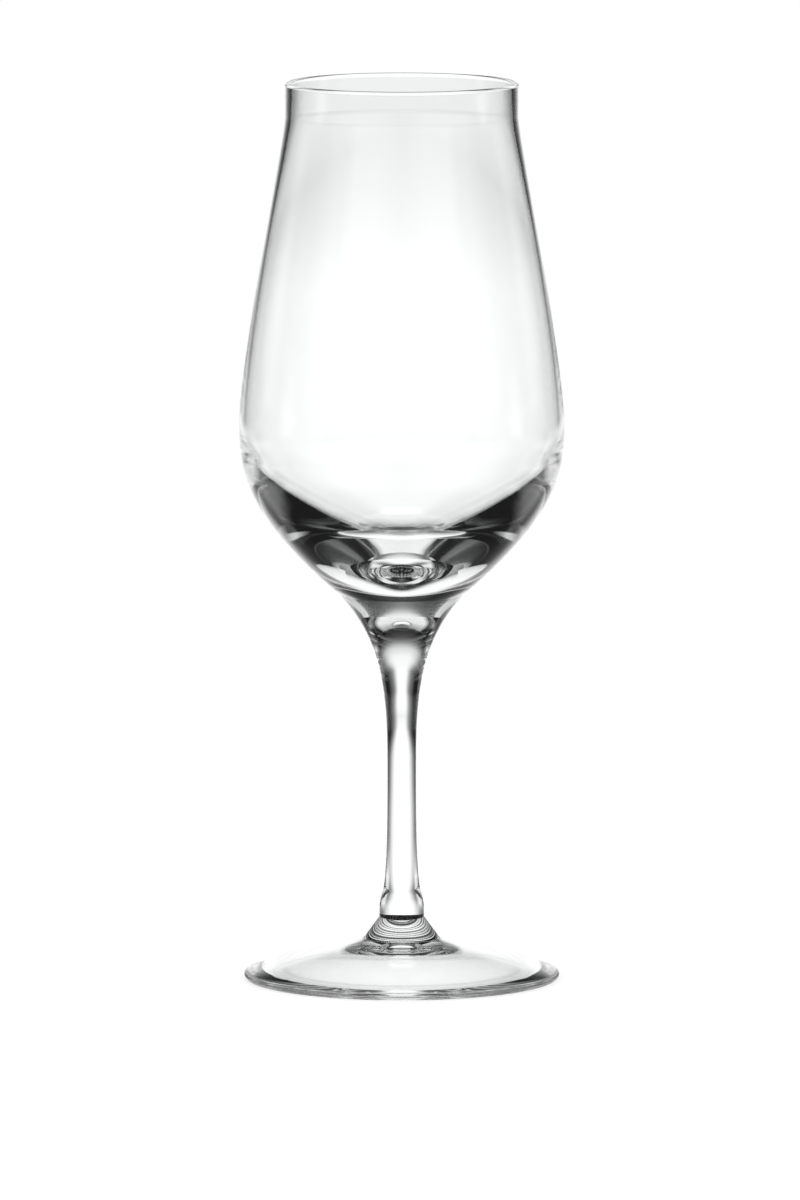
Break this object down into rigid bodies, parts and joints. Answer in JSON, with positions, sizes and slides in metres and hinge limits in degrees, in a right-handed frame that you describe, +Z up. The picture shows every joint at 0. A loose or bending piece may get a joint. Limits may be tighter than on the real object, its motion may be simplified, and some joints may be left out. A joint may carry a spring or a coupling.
{
  "type": "whisky nosing glass",
  "caption": "Stemmed nosing glass: a clear tulip bowl that narrows to an upright lip, on a slim flared stem and a domed foot with a hollow underside.",
  "frame": {"origin": "centre of the foot, on the surface that the glass stands on", "axes": "+Z up along the glass's axis; the glass is the same all round, so +X and +Y are free"},
  "size_m": [0.0632, 0.0632, 0.175],
  "materials": {
    "clear_glass": "fire-polished, colourless"
  },
  "bodies": {
    "root": {"bowl": "clear_glass", "stem": "clear_glass", "foot": "clear_glass"}
  },
  "joints": []
}
